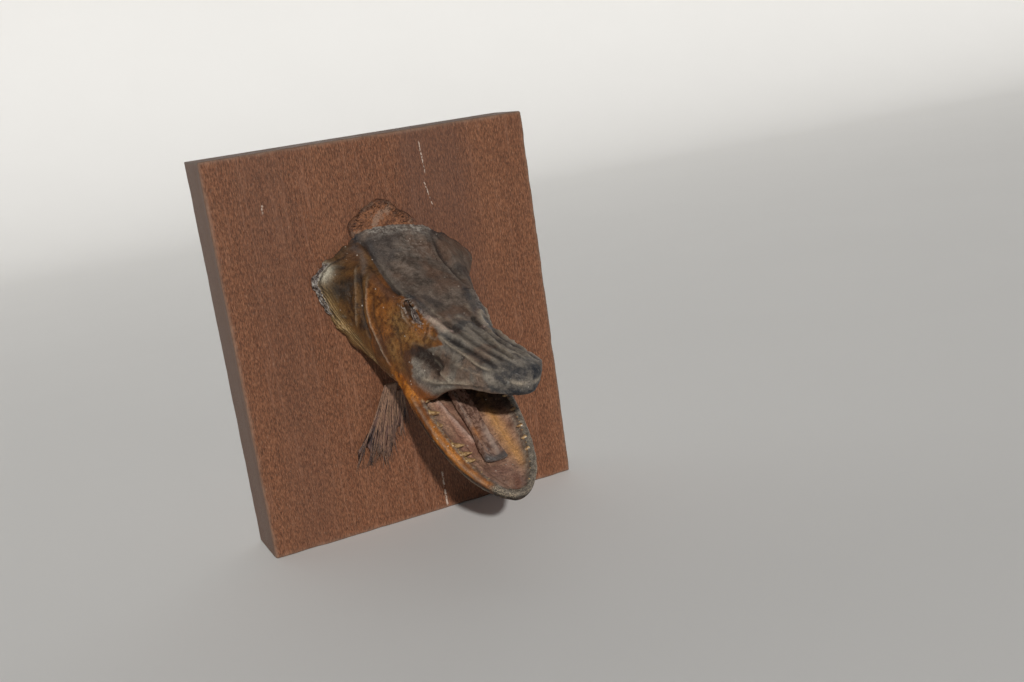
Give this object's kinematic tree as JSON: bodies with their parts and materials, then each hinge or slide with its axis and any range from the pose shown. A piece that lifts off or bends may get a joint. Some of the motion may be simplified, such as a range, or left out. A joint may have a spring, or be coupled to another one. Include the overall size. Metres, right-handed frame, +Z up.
{
  "type": "dried pike head mounted on a wooden board",
  "caption": "Dried head of a pike, mouth wide open and gill covers spread, with remains of a pectoral fin, fixed to the face of a plain hardwood board as a wall trophy.",
  "frame": {"origin": "centre of the board's flat back face, which lies against the wall", "axes": "+Y out of the board's back, into the wall; -Y towards the snout; +Z up along the board's long side; +X to the right of a person who faces the trophy"},
  "size_m": [0.26, 0.2659, 0.307],
  "materials": {
    "board": "planed reddish hardwood, worn, dull",
    "roof_skin": "dried skin, satin",
    "cheek_skin": "dried skin, satin",
    "gill_cover_skin": "dried skin, semi-gloss",
    "membrane": "dried membrane, semi-gloss",
    "flesh": "dried tissue, satin",
    "jaw_skin": "dried skin, semi-gloss",
    "tongue": "dried tissue, semi-gloss",
    "eye": "shrunken, semi-gloss",
    "fin": "dried fin rays, dull",
    "tissue": "dried fibrous tissue, dull"
  },
  "bodies": {
    "root": {"board": "board", "cranium": "roof_skin", "upper_jaw": "roof_skin", "throat": "flesh", "cheek_left": "cheek_skin", "cheek_right": "cheek_skin", "gill_cover_left": "gill_cover_skin", "gill_cover_right": "gill_cover_skin", "gill_membrane_left": "membrane", "gill_membrane_right": "membrane", "lower_jaw": "jaw_skin", "tongue": "tongue", "eye_left": "eye", "eye_right": "eye", "pectoral_fin": "fin", "pectoral_fin_inner": "fin", "nape_tissue": "tissue"}
  },
  "joints": []
}
